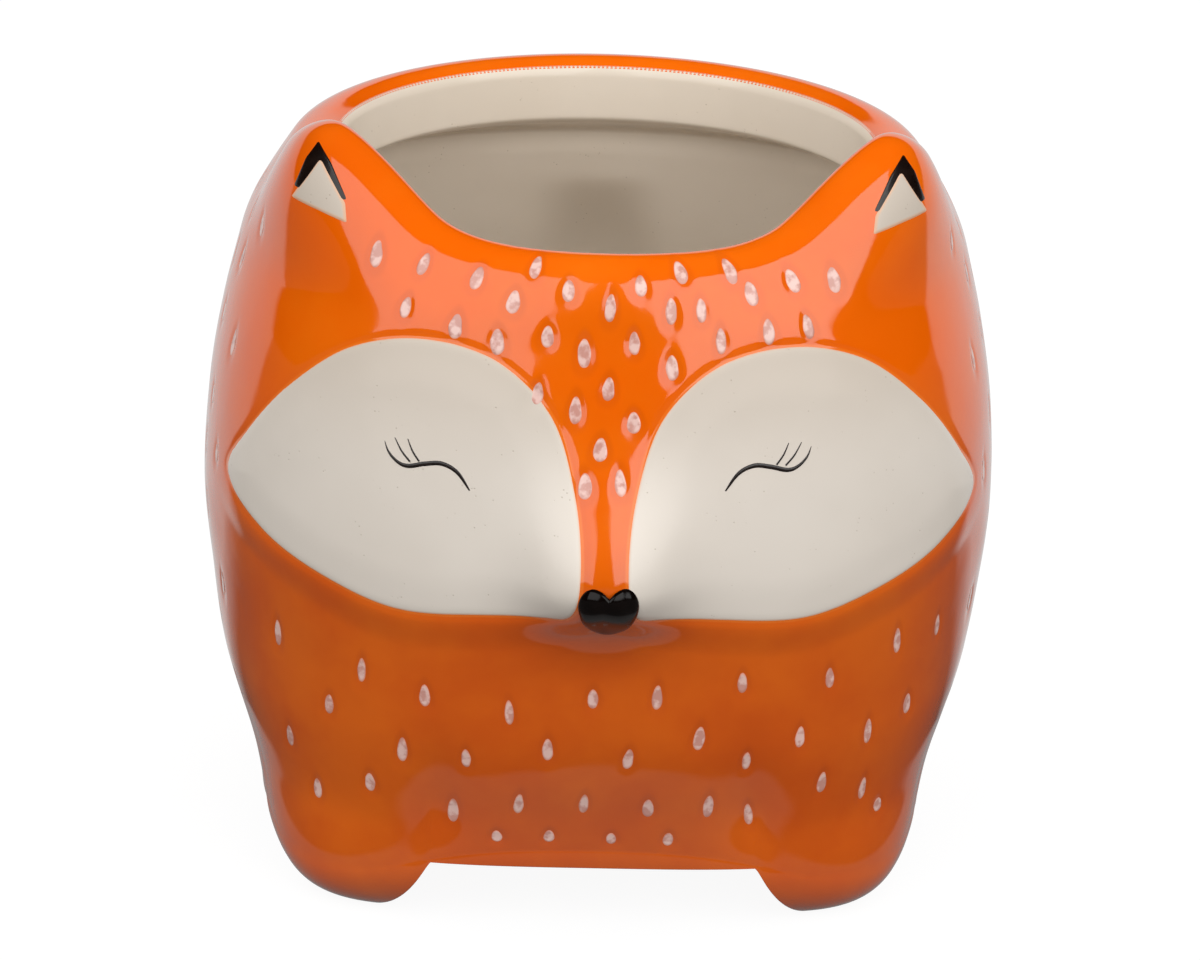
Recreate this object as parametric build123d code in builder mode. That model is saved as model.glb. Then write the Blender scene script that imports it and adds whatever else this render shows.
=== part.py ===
"""A fox shaped planter: a glazed, slip-cast cover pot on four feet.

Millimetres. X is the fox's left-to-right as seen from the front, -Y is where the fox looks and
Z is up. The origin is on the table, under the middle of the pot.
"""

from build123d import *
import os
from math import atan2, cos, degrees, exp, pi, radians, sin, sqrt, tan

# The casting
half_width = 67.5  # belly, at its widest
half_depth = 62.0  # belly, without nose and tail
rim_height = 123.6  # top of the rim at the back
rim_radius = 48.2  # top line of the rim
rim_round = 3.3  # rounding of the rim's inner edge
rim_roll = 6.2  # rounding of the rim's outer edge
wall = 5.0  # thickness of the casting with its lining
lining_coat = 1.2  # thickness of the cream coat inside
neck_drop = 7.0  # height of the upright face under the rim, inside
undercut = 5.0  # height over which the inside widens below that face
floor_corner = 20.0  # radius between the cavity's wall and floor
tail_fill = 0.4  # share of the tail that is solid clay, the rest is hollow

# Feet
belly_gap = 10.5  # belly above the table
leg_reach = 38.5  # middle of the pot to the middle of a leg, in X
leg_width = 23.0
foot_round = 7.5  # outer rounding in the middle of a foot
foot_turn = 7.5  # beside its middle the rounding grows by up to this
foot_spread = 20.0  # degrees over which it grows
foot_inner_round = 9.5
leg_bore = 5.5  # radius of the hollow in a leg
leg_sole = 5.0  # clay under that hollow

# Ears and brow
ear_rise = 8.0  # ear tip above the rim
ear_lean = 3.6  # ear tip outside the rim's top line
ear_angle = 60.0  # degrees from the front
ear_spread = 24.0  # degrees from the tip to the ear's end
ear_blunt = 0.22  # rounding of the tip, as a share of the spread
ear_foot = 0.14  # rounding where an ear runs out into the rim, as a share of its rise
brow_dip = 6.4  # the brow's middle under the rim
brow_spread = 42.0  # degrees from the front
brow_flatness = 5.0  # how level the brow is before it climbs to the ears

# Muzzle, nose and tail
muzzle_reach = 9.2  # muzzle in front of the belly's curve
muzzle_width = 11.0
muzzle_height = 67.0  # its foremost point above the table
nose_width = 9.4
nose_length = 8.2
nose_proud = 1.2
nose_ball = 12.0  # radius of the nose's domed front
tail_reach = 11.0  # tail behind the belly's curve
tail_width = 24.0
tail_top = 100.0
tail_foot = 14.0
tail_tip_length = 20.0

# Colour fields and enamel
field_depth = 1.2  # cream and black fields, let into the casting
line_width = 0.8  # lid lines and lashes
fleck_length = 3.4
fleck_width = 1.5
large_fleck_length = 4.5  # those of the forehead
large_fleck_width = 1.8
fleck_proud = 0.35
fleck_bite = 0.05  # flecks are fused into the glaze by this
fleck_point = 0.2  # radius of a fleck's narrow upper end
fleck_pitch = 10.4  # between rows and neighbours on the sides and the back
fleck_scatter = 1.6  # their unevenness, in millimetres and degrees
forehead_lean = 0.55  # flecks there lean by this share of their angle
cheek_end = 70.0  # degrees from the front, where the cheeks and the chest's flecks end
back_start = 132.0  # degrees from the front, where the back's flecks start
tail_edge = 163.0  # degrees from the front, where the tail starts

# Counts and workshop values
points_round = 72
wall_rows = 20
inner_rows = 16
overrun = 5.0  # cutters reach this far past what they cut
bed_margin = 1.0
probe = 0.5  # step that finds the outside's slope
shoulder_turn = 34.0  # the outside meets the rounded rim at this slope
lip_turn = 146.0  # the cream coat starts here, on the rim's inner edge

# Belly outline: share of the rim's height, share of the half width, squareness in plan
outline_shares = [
    (0.073, 0.824, 3.9),
    (0.16, 0.866, 3.0),
    (0.29, 0.944, 2.5),
    (0.405, 0.976, 2.4),
    (0.52, 0.995, 2.35),
    (0.65, 0.983, 2.3),
    (0.76, 0.95, 2.25),
    (0.85, 0.91, 2.2),
]

# Face outlines of the right side: share of the half width, share of the rim's height
cheek_shares = [
    (0.08, 0.506),
    (0.06, 0.566),
    (0.074, 0.655),
    (0.133, 0.756),
    (0.265, 0.822),
    (0.445, 0.838),
    (0.62, 0.808),
    (0.77, 0.735),
    (0.875, 0.65),
    (0.922, 0.58),
    (0.83, 0.532),
    (0.665, 0.497),
    (0.49, 0.474),
    (0.295, 0.48),
    (0.14, 0.492),
]
lid_shares = [(0.303, 0.655), (0.333, 0.679), (0.37, 0.689), (0.41, 0.686), (0.45, 0.677), (0.504, 0.691)]
lash_shares = [((0.442, 0.68), (0.48, 0.704)), ((0.413, 0.685), (0.45, 0.707))]
patch_shares = [(0.696, 1.032), (0.761, 0.98), (0.631, 0.967)]
edging_shares = [(0.703, 1.05), (0.766, 0.987), (0.628, 0.99)]

# Flecks of the face side: degrees from the middle of the face, share of the rim's height
forehead_fleck_shares = [
    (-41, 0.93), (-33, 0.925), (-34, 0.872), (-23, 0.918), (-25, 0.858), (-16, 0.895),
    (-18, 0.844), (-13, 0.938), (-7, 0.913), (-10, 0.855), (0, 0.894), (-4, 0.836),
    (-11, 0.782), (-5, 0.764), (0, 0.792), (-1, 0.716), (-3, 0.672), (2, 0.677),
    (4, 0.85), (4, 0.75), (5, 0.921), (12, 0.936), (21, 0.934), (10, 0.89),
    (15, 0.89), (24, 0.906), (32, 0.916), (39, 0.912), (18, 0.851), (26, 0.859),
    (33, 0.86), (10, 0.819),
]
chest_fleck_shares = [
    (-53, 0.386), (-37, 0.372), (-27, 0.351), (-43, 0.309), (-52, 0.237), (-14, 0.338),
    (-1, 0.363), (-31, 0.265), (-21, 0.263), (-8, 0.285), (-47, 0.172), (-37, 0.205),
    (-24, 0.175), (-13, 0.196), (-2, 0.199), (-17, 0.141), (-8, 0.144), (3, 0.142),
    (5, 0.273), (9, 0.366), (22, 0.384), (36, 0.376), (48, 0.407), (58, 0.402),
    (16, 0.304), (24, 0.264), (32, 0.295), (44, 0.283), (52, 0.304), (37, 0.219),
    (45, 0.194), (49, 0.159), (9, 0.193), (19, 0.195), (26, 0.175), (13, 0.142),
]

base_sink = 0.03 * foot_round  # the feet's rounding dips under the table by this, and is cut flat
shoulder_height = outline_shares[-1][0] * rim_height
neck_height = rim_height - rim_round - neck_drop
floor_height = belly_gap + wall
depth_share = half_depth / half_width
reach = half_width + tail_reach + nose_proud + overrun  # past the pot on every side


def smooth_row(table, at):
    """A row between a table's rows, on a curve that passes through them all."""
    at = min(max(at, table[0][0]), table[-1][0])
    last = len(table) - 2
    index = min(last, max(i for i, row in enumerate(table[:-1]) if row[0] <= at))
    before, start = table[max(index - 1, 0)], table[index]
    end, after = table[index + 1], table[min(index + 2, last + 1)]
    span = end[0] - start[0]
    share = (at - start[0]) / span
    values = []
    for v0, v1, v2, v3 in list(zip(before, start, end, after))[1:]:
        slope_in = (v2 - v0) / (end[0] - before[0]) * span
        slope_out = (v3 - v1) / (after[0] - start[0]) * span
        rise = v2 - v1
        bend = share * (share - 1)
        curve = (slope_in - rise) * (share - 1) + (slope_out - rise) * share
        values.append(v1 + rise * share + bend * curve)
    return values


def from_front(angle):
    """Degrees away from the front, 0 to 180."""
    return abs((angle + 180) % 360 - 180)


def ear(angle):
    """1 at an ear's tip, falling to 0 at its ends, rounded at both."""
    share = (from_front(angle) - ear_angle) / ear_spread
    fall = (sqrt(share**2 + ear_blunt**2) - ear_blunt) / (sqrt(1 + ear_blunt**2) - ear_blunt)
    return ((1 - fall) + sqrt((1 - fall) ** 2 + ear_foot**2)) / 2


def brow(angle):
    """1 at the middle of the brow, falling to 0 at its ends."""
    return exp(-((from_front(angle) / brow_spread) ** brow_flatness))


def crest(angle):
    """Radius and height of the top line of the rim, ears and brow."""
    radius = rim_radius + ear_lean * ear(angle)
    return radius, rim_height + ear_rise * ear(angle) - brow_dip * brow(angle)


def muzzle(angle, height):
    """How far the muzzle stands out of the belly's curve."""
    aside = radians(from_front(angle)) * half_depth / muzzle_width
    up_share, down_share = 1.27, 0.82
    reach = muzzle_width * (up_share if height > muzzle_height else down_share)
    along = (height - muzzle_height) / reach
    return muzzle_reach * exp(-(aside**2) - along**2)


def tail(angle, height):
    """How far the tail stands out of the belly's curve."""
    aside = radians(180 - from_front(angle)) * half_depth / (tail_width * 0.45)
    along = min(max((height - tail_foot) / (tail_top - tail_foot), 0), 1)
    return tail_reach * exp(-(aside**2.6)) * (1 - (2 * along - 1) ** 4) ** 1.5


def wall_radius(angle, height):
    """Radius of the casting's outside at an angle and a height below the shoulder."""
    width_share, squareness = smooth_row(outline_shares, height / rim_height)
    width = width_share * half_width
    depth = width * depth_share
    across = abs(sin(radians(angle)) / width) ** squareness
    ahead = abs(cos(radians(angle)) / depth) ** squareness
    return (across + ahead) ** (-1 / squareness) + muzzle(angle, height) + tail(angle, height)


def ring(place):
    """A closed smooth curve round the pot. place gives its radius and height at an angle."""
    points = []
    for step in range(points_round):
        angle = 180 + 360 * step / points_round
        radius, height = place(angle)
        points.append((radius * sin(radians(angle)), -radius * cos(radians(angle)), height))
    shares = [step / points_round for step in range(points_round + 1)]
    return Wire([Edge.make_spline(points, periodic=True, parameters=shares)])


def crest_ring(turn, coat):
    """A ring on the rounded rim, turned from the outside over the top to the inside."""
    rounding = rim_roll if turn < 90 else rim_round
    size = rounding - coat

    def place(angle):
        radius, height = crest(angle)
        middle = height - rounding
        return radius + size * cos(radians(turn)), middle + size * sin(radians(turn))

    return ring(place)


def shoulder_top(angle):
    """Radius and height where the outside meets the rounded rim."""
    radius, height = crest(angle)
    return (
        radius + rim_roll * cos(radians(shoulder_turn)),
        height - rim_roll * (1 - sin(radians(shoulder_turn))),
    )


def shoulder_place(angle, share):
    """Radius and height at a share of the way from the shoulder to the rounded rim.

    The curve leaves along the wall and arrives along the rounding.
    """
    radius, height = shoulder_top(angle)
    start = wall_radius(angle, shoulder_height)
    climb = height - shoulder_height
    leave = (start - wall_radius(angle, shoulder_height - probe)) / probe * climb
    arrive = -tan(radians(shoulder_turn)) * climb
    ease = share**2 * (3 - 2 * share)
    bend = leave * share * (1 - share) ** 2 - arrive * share**2 * (1 - share)
    return start + (radius - start) * ease + bend, shoulder_height + climb * share


def shoulder_ring(share, inset):
    """A ring above the shoulder, which rises and dips with the ears and the brow."""

    def place(angle):
        radius, height = shoulder_place(angle, share)
        return radius - inset, height

    return ring(place)


def outside_point(angle, height):
    """A point of the glazed outside."""
    if height > shoulder_height:
        climb = shoulder_top(angle)[1] - shoulder_height
        radius = shoulder_place(angle, (height - shoulder_height) / climb)[0]
    else:
        radius = wall_radius(angle, height)
    return Vector(radius * sin(radians(angle)), -radius * cos(radians(angle)), height)


def outside_plane(angle, height, lean=0):
    """The plane that touches the outside there, with its Y up the pot, leaned by some degrees."""
    along = outside_point(angle + probe, height) - outside_point(angle - probe, height)
    up = outside_point(angle, height + probe) - outside_point(angle, height - probe)
    touching = Plane(outside_point(angle, height), x_dir=along, z_dir=along.cross(up))
    return touching.rotated((0, 0, lean))


def foot_height(angle):
    """Size of the bottom edge's rounding, least in the middle of a foot."""
    leg_angle = degrees(atan2(1, depth_share))
    beside = min(abs(from_front(angle) - leg_angle), abs(180 - from_front(angle) - leg_angle))
    return foot_round + foot_turn * (1 - exp(-((beside / foot_spread) ** 2)))


def wall_ring(share, inset, start):
    """A ring of the upright outside, at a share of its height above a start."""

    def place(angle):
        height = start(angle) + (shoulder_height - start(angle)) * share
        return wall_radius(angle, height) - inset, height

    return ring(place)


def wall_rings(inset, start):
    """The upright outside, from a start height to the rim's inner edge."""
    rings = [wall_ring(row / wall_rows, inset, start) for row in range(wall_rows + 1)]
    rings += [shoulder_ring(share, inset) for share in (0.25, 0.5, 0.75)]
    turns = (shoulder_turn, 62, 90, 118, lip_turn)
    return rings + [crest_ring(turn, inset) for turn in turns]


def foot_rings():
    """The rounded bottom edge, from the flat base up."""
    rings = []
    for turn in (0, 25, 50, 72):

        def place(angle, turn=turn):
            size = foot_height(angle)
            radius = wall_radius(angle, size) - size * (1 - sin(radians(turn)))
            return radius, (size + base_sink) * (1 - cos(radians(turn))) - base_sink

        rings.append(ring(place))
    return rings


def hollow_radius(angle, height, inset):
    """Radius of the inside, which follows the outside but not all of the tail."""
    return wall_radius(angle, height) - tail_fill * tail(angle, height) - inset


def hollow_level(height, inset):
    """A flat ring of the inside."""
    return ring(lambda angle: (hollow_radius(angle, height, inset), height))


def undercut_ring(share, coat):
    """A ring between the upright face under the rim, share 0, and the inside's wall, share 1."""
    neck = rim_radius - rim_round + coat
    belly_height = neck_height - undercut
    ease = (1 - cos(pi * share)) / 2

    def place(angle):
        belly = hollow_radius(angle, belly_height, wall - coat)
        return neck + (belly - neck) * ease, neck_height - undercut * share

    return ring(place)


def inner_rings(coat):
    """The inside, from the rim's inner edge to the flat floor, moved outwards by a coat."""
    corner_top = floor_height + floor_corner
    top = neck_height - undercut
    rings = [crest_ring(turn, coat) for turn in (lip_turn, 180)]
    rings += [undercut_ring(share, coat) for share in (0, 0.2, 0.4, 0.6, 0.8)]
    for row in range(inner_rows):
        rings.append(hollow_level(top + (corner_top - top) * row / inner_rows, wall - coat))
    for turn in (0, 18, 36, 54, 72, 90):
        height = corner_top - (floor_corner + coat) * sin(radians(turn))
        inset = wall + floor_corner - (floor_corner + coat) * cos(radians(turn))
        rings.append(hollow_level(height, inset))
    return rings


def closed(faces):
    """One solid from faces that meet edge to edge."""
    return Solid(Shell(faces))


def pot_solids():
    """The casting without its cuts, and the lining that coats its inside."""
    outside = foot_rings() + wall_rings(0, foot_height)
    inside, under = inner_rings(0), inner_rings(lining_coat)
    outer = Shell.make_loft(outside).faces()
    inner = Shell.make_loft(inside).faces()
    below = Shell.make_loft(under).faces()
    lip = Shell.make_loft([outside[-1], under[0]], ruled=True).faces()
    base = [Face(outside[0])]
    body = closed([*outer, *lip, *below, Face(under[-1]), *base])
    coat = closed([*inner, *lip, *below, Face(inside[-1]), Face(under[-1])])
    return body, coat


def inlay_bed(depth):
    """The casting with its outside set in by an inlay's depth and its inside left over-thick."""
    outside, inside = wall_rings(depth, lambda angle: foot_round), inner_rings(-bed_margin)
    lip = Shell.make_loft([outside[-1], inside[0]], ruled=True).faces()
    shells = [*Shell.make_loft(outside).faces(), *lip, *Shell.make_loft(inside).faces()]
    return closed([*shells, Face(outside[0]), Face(inside[-1])])


def prism(plane, depth, outline):
    """A solid run from an outline on a plane, along its normal."""
    with BuildPart() as cutter:
        with BuildSketch(plane):
            add(outline)
        extrude(amount=depth)
    return cutter.part


def spot(share):
    """A point of the front view from its shares."""
    return share[0] * half_width, share[1] * rim_height


def nose_outline():
    """A rounded heart with its notch up."""
    side, top = nose_width / 2, muzzle_height + nose_proud / 2
    with BuildSketch() as outline:
        with BuildLine():
            lobe = ThreePointArc(
                (0, top - 0.13 * nose_length),
                (0.5 * side, top),
                (side, top - 0.35 * nose_length),
            )
            jaw = Spline(lobe @ 1, (0, top - nose_length), tangents=[(0, -1), (-1, 0)])
            mirror([lobe, jaw], about=Plane.YZ)
        make_face()
    return outline.sketch


def field_outline(shares):
    """A field with straight sides."""
    with BuildSketch() as outline:
        with BuildLine():
            Polyline(*[spot(share) for share in shares], close=True)
        make_face()
    return outline.sketch


def cheek_outline():
    with BuildSketch() as outline:
        with BuildLine():
            Spline(*[spot(share) for share in cheek_shares], periodic=True)
        make_face()
    return outline.sketch


def lid_outline():
    with BuildSketch() as outline:
        with BuildLine():
            Spline(*[spot(share) for share in lid_shares])
        trace(line_width=line_width)
    return outline.sketch


def lashes_outline():
    with BuildSketch() as outline:
        with BuildLine():
            for root, tip in lash_shares:
                Line(spot(root), spot(tip))
        trace(line_width=line_width)
    return outline.sketch


def gap_outline(side):
    """The room between two legs, seen from the front or the side, with rounded feet."""
    vault = belly_gap - foot_inner_round
    with BuildSketch() as outline:
        with BuildLine():
            foot = Line((side + foot_inner_round, -overrun), (side + foot_inner_round, 0))
            toe = JernArc(foot @ 1, (-1, 0), foot_inner_round, -90)
            arch = JernArc(toe @ 1, (0, 1), vault, 90)
            top = Line(arch @ 1, (0, belly_gap))
            mirror([foot, toe, arch, top], about=Plane.YZ)
            Line((side + foot_inner_round, -overrun), (-side - foot_inner_round, -overrun))
        make_face()
    return outline.sketch


def tail_tip_outline():
    """The upper end of the tail, with a jagged lower edge."""
    side, low = 0.4 * tail_width, tail_top - tail_tip_length
    tooth = 0.3 * tail_tip_length
    zigzag = [(1, 0), (0.55, -1), (0.25, 0), (0, -1.4), (-0.25, 0), (-0.55, -1), (-1, 0)]
    with BuildSketch() as outline:
        with BuildLine():
            ThreePointArc((-side, low), (0, tail_top), (side, low))
            Polyline(*[(side * across, low + tooth * down) for across, down in zigzag])
        make_face()
    return outline.sketch


def leg_hollows(size):
    """Round-ended bores down into the four legs."""
    base = leg_sole + leg_bore
    with BuildPart() as hollows:
        with Locations([(x, y, base) for x, y in leg_spots]):
            Sphere(size)
            Cylinder(size, bore_top - base, align=(Align.CENTER, Align.CENTER, Align.MIN))
    return hollows.part


def inlay(outline, start, depth):
    """What an outline's prism holds of the casting above the bed."""
    return casting & (prism(start, depth, outline) - bed)


def scattered_spots():
    """Angles and heights of the right half's flecks beside and behind the face, in uneven rows."""
    low, high = 0.155 * rim_height, 0.915 * rim_height
    rows = round((high - low) / fleck_pitch)
    columns = round(radians(180 - cheek_end) * half_width / fleck_pitch)
    spread = (180 - cheek_end) / columns
    spots = []
    for row in range(rows + 1):
        for column in range(columns):
            angle = 180 - spread * (column + 0.25 + 0.5 * (row % 2))
            angle += fleck_scatter * sin(3 * row + 2 * column)
            height = low + (high - low) * row / rows + fleck_scatter * sin(5 * column + 2 * row)
            beside_tip = angle > tail_edge and height > tail_top - 1.5 * tail_tip_length
            if angle > cheek_end and not beside_tip:
                spots.append((angle, height))
    return spots


def drops(planes, length=fleck_length, width=fleck_width):
    """A builder with enamel drops, narrow at the top, on planes that touch the pot."""
    low, high = width / 2, fleck_point
    with BuildPart() as fleck_group:
        with BuildSketch(*[plane.offset(-fleck_bite) for plane in planes]):
            with Locations((0, low - length / 2)):
                Circle(low)
            with Locations((0, length / 2 - high)):
                Circle(high)
            make_hull()
        extrude(amount=fleck_bite + fleck_proud)
    return fleck_group


front = Plane.XZ.offset(reach)
back = Plane.XZ.offset(-reach)
front_depth = -(reach - overrun)
ear_depth = -(reach - (rim_radius + ear_lean) * cos(radians(ear_angle)))
leg_inside = leg_reach - leg_width / 2
leg_spots = [(x * leg_reach, y * leg_reach * depth_share) for x in (-1, 1) for y in (-1, 1)]
bore_top = floor_height + floor_corner

casting, inside_coat = pot_solids()
bed = inlay_bed(field_depth)
hollow, hollow_coat = leg_hollows(leg_bore), leg_hollows(leg_bore + lining_coat)

with BuildPart() as leg_gaps:
    add(prism(front, -2 * reach, gap_outline(leg_inside)))
    add(prism(Plane.YZ.offset(-reach), 2 * reach, gap_outline(leg_inside * depth_share)))
    with Locations((0, 0, -overrun)):
        Box(2 * reach, 2 * reach, 2 * overrun)

# Fields of the face, right side. The left side mirrors them.
nose_field, lid_field = nose_outline(), lid_outline()
lash_field = lashes_outline() - lid_field
patch_field = field_outline(patch_shares)
edging_field = field_outline(edging_shares) - patch_field

with BuildSketch() as cheek_field:
    add(cheek_outline())
    add([nose_field, lid_field, lash_field], mode=Mode.SUBTRACT)

with BuildSketch() as mask_field:
    add(cheek_outline())
    mirror(about=Plane.YZ)
    add(nose_field)

with BuildSketch() as ear_field:
    add([patch_field, edging_field])

with BuildPart() as right_cheek:
    add(inlay(cheek_field.sketch, front, front_depth))
with BuildPart() as left_cheek:
    add(right_cheek.part.mirror(Plane.YZ))
with BuildPart() as right_lid_line:
    add(inlay(lid_field, front, front_depth))
with BuildPart() as left_lid_line:
    add(right_lid_line.part.mirror(Plane.YZ))
with BuildPart() as right_lashes:
    add(inlay(lash_field, front, front_depth))
with BuildPart() as left_lashes:
    add(right_lashes.part.mirror(Plane.YZ))
with BuildPart() as right_ear_patch:
    add(inlay(patch_field, front, ear_depth))
with BuildPart() as left_ear_patch:
    add(right_ear_patch.part.mirror(Plane.YZ))
with BuildPart() as right_ear_edging:
    add(inlay(edging_field, front, ear_depth))
with BuildPart() as left_ear_edging:
    add(right_ear_edging.part.mirror(Plane.YZ))
with BuildPart() as tail_tip:
    add(inlay(tail_tip_outline(), back, reach - overrun))

# The nose: a ball fused with the muzzle's tip, inside the heart outline
nose_plane = outside_plane(0, muzzle_height - nose_length / 2)
with BuildPart() as nose_lump:
    with Locations((0, -half_depth - muzzle_reach, muzzle_height)):
        Box(2 * nose_width, 2 * muzzle_reach, 3 * nose_length)
    add(casting, mode=Mode.INTERSECT)
    with Locations(nose_plane.offset(nose_proud - nose_ball)):
        Sphere(nose_ball)
    add(prism(front, front_depth, nose_field), mode=Mode.INTERSECT)
    add(bed, mode=Mode.SUBTRACT)
with BuildPart() as nose:
    add(nose_lump.part.solids().sort_by(Axis.Y)[0])

mask_cut = prism(front, front_depth, mask_field.sketch) - bed
ear_cut = prism(front, ear_depth, ear_field.sketch) - bed
tip_cut = prism(back, reach - overrun, tail_tip_outline()) - bed
with BuildPart() as clay_body:
    add(casting)
    add(mask_cut, mode=Mode.SUBTRACT)
    add([ear_cut, ear_cut.mirror(Plane.YZ)], mode=Mode.SUBTRACT)
    add(tip_cut, mode=Mode.SUBTRACT)
    add([leg_gaps.part, hollow_coat], mode=Mode.SUBTRACT)

with BuildPart() as lining:
    add(inside_coat)
    add(hollow, mode=Mode.SUBTRACT)
with BuildPart() as leg_cups:
    add(casting & hollow_coat)
    add(hollow, mode=Mode.SUBTRACT)

# Flecks. Those of the forehead lean towards the muzzle.
forehead_flecks = drops(
    [
        outside_plane(angle, share * rim_height, forehead_lean * angle)
        for angle, share in forehead_fleck_shares
    ],
    large_fleck_length,
    large_fleck_width,
)
chest_flecks = drops(
    [outside_plane(angle, share * rim_height) for angle, share in chest_fleck_shares]
)
side_spots = [(angle, height) for angle, height in scattered_spots() if angle < back_start]
back_spots = [(angle, height) for angle, height in scattered_spots() if angle > back_start]
right_side_flecks = drops([outside_plane(angle, height) for angle, height in side_spots])
left_side_flecks = drops([outside_plane(-angle, height) for angle, height in side_spots])
back_flecks = drops(
    [outside_plane(side * angle, height) for angle, height in back_spots for side in (-1, 1)]
)

os.makedirs("parts", exist_ok=True)
clay_body.part.label = "clay_body"
export_step(clay_body.part, "parts/clay_body.step")
lining.part.label = "lining"
export_step(lining.part, "parts/lining.step")
leg_cups.part.label = "leg_cups"
export_step(leg_cups.part, "parts/leg_cups.step")
right_cheek.part.label = "right_cheek"
export_step(right_cheek.part, "parts/right_cheek.step")
left_cheek.part.label = "left_cheek"
export_step(left_cheek.part, "parts/left_cheek.step")
right_lid_line.part.label = "right_lid_line"
export_step(right_lid_line.part, "parts/right_lid_line.step")
left_lid_line.part.label = "left_lid_line"
export_step(left_lid_line.part, "parts/left_lid_line.step")
right_lashes.part.label = "right_lashes"
export_step(right_lashes.part, "parts/right_lashes.step")
left_lashes.part.label = "left_lashes"
export_step(left_lashes.part, "parts/left_lashes.step")
right_ear_patch.part.label = "right_ear_patch"
export_step(right_ear_patch.part, "parts/right_ear_patch.step")
left_ear_patch.part.label = "left_ear_patch"
export_step(left_ear_patch.part, "parts/left_ear_patch.step")
right_ear_edging.part.label = "right_ear_edging"
export_step(right_ear_edging.part, "parts/right_ear_edging.step")
left_ear_edging.part.label = "left_ear_edging"
export_step(left_ear_edging.part, "parts/left_ear_edging.step")
tail_tip.part.label = "tail_tip"
export_step(tail_tip.part, "parts/tail_tip.step")
nose.part.label = "nose"
export_step(nose.part, "parts/nose.step")
forehead_flecks.part.label = "forehead_flecks"
export_step(forehead_flecks.part, "parts/forehead_flecks.step")
chest_flecks.part.label = "chest_flecks"
export_step(chest_flecks.part, "parts/chest_flecks.step")
right_side_flecks.part.label = "right_side_flecks"
export_step(right_side_flecks.part, "parts/right_side_flecks.step")
left_side_flecks.part.label = "left_side_flecks"
export_step(left_side_flecks.part, "parts/left_side_flecks.step")
back_flecks.part.label = "back_flecks"
export_step(back_flecks.part, "parts/back_flecks.step")
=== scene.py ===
"""Looks of the fox shaped planter: glazed ceramic, cream fields, black enamel and flecks."""

from math import atan2, cos, degrees, pi, radians, sin, tan

import bmesh
import bpy
import numpy as np
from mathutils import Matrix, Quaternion, Vector, kdtree
from mathutils.bvhtree import BVHTree


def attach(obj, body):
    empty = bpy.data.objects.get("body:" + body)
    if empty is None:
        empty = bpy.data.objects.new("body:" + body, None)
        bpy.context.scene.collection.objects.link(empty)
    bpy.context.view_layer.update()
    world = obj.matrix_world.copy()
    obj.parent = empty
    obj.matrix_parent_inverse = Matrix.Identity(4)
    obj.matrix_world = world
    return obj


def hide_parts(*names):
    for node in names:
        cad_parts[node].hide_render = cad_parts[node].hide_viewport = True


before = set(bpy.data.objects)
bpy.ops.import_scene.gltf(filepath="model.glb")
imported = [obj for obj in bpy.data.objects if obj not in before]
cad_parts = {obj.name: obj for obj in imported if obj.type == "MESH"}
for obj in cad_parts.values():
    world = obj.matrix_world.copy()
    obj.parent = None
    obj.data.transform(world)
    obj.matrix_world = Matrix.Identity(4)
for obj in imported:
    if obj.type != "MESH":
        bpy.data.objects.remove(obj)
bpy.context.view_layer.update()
rng = np.random.default_rng(7)
MM = 0.001

# ---- the pot's form, in millimetres and degrees. Angles go round the pot from its front.
HALF_WIDTH, HALF_DEPTH, RIM_HEIGHT = 67.5, 62.0, 123.6
RIM_RADIUS, RIM_ROUND, RIM_ROLL, WALL = 48.2, 3.3, 6.2, 5.0
BAND_HEIGHT, UNDERCUT = 7.0, 5.0
NECK_HEIGHT = RIM_HEIGHT - RIM_ROUND - BAND_HEIGHT
FLOOR, FLOOR_CORNER = 15.5, 20.0
SHOULDER_TURN = 34.0
# the four stumps for feet, and the belly between them
BELLY_GAP, FOOT_ROUND, FOOT_TURN, FOOT_SPREAD = 12.2, 7.5, 7.5, 20.0
LEG_X, LEG_Y, LEG_HALF = 38.5, 35.4, 11.5
LEG_FALL, LEG_CORNER, LEG_BLEND = 2.2, 3, 14
LEG_ANGLE = degrees(atan2(HALF_WIDTH, HALF_DEPTH))
# the underside ends this far inside the rounding of the bottom edge
EDGE_SOFTNESS = 0.5
# muzzle and tail: how far they stand out, their half width, and how squarely they fall away
MUZZLE_OUT, MUZZLE_HALF, MUZZLE_POWER = 9.2, 11.0, 2.35
MUZZLE_HEIGHT, MUZZLE_UP, MUZZLE_DOWN = 67.0, 1.27, 0.82
TAIL_OUT, TAIL_HALF, TAIL_POWER = 11.0, 10.8, 2.6
TAIL_FOOT, TAIL_LENGTH, TAIL_FILL = 14.0, 86.0, 0.4
# ears and brow of the rim
EAR_ANGLE, EAR_SPREAD, EAR_TIP, EAR_FOOT = 60.0, 24.0, 0.22, 0.14
EAR_OUT, EAR_UP = 3.6, 8.0
BROW_SPREAD, BROW_POWER, BROW_DIP = 42.0, 5, 6.4
# the belly: share of the rim's height, share of the half width, squareness of the plan
OUTLINE = np.array(
    [
        (0.073, 0.824, 3.9),
        (0.16, 0.866, 3.0),
        (0.29, 0.944, 2.5),
        (0.405, 0.976, 2.4),
        (0.52, 0.995, 2.35),
        (0.65, 0.983, 2.3),
        (0.76, 0.95, 2.25),
        (0.85, 0.91, 2.2),
    ]
)
SHOULDER = OUTLINE[-1, 0] * RIM_HEIGHT
# the height over which the wall's slope at the shoulder is taken
SLOPE_STEP = 0.5


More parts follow.
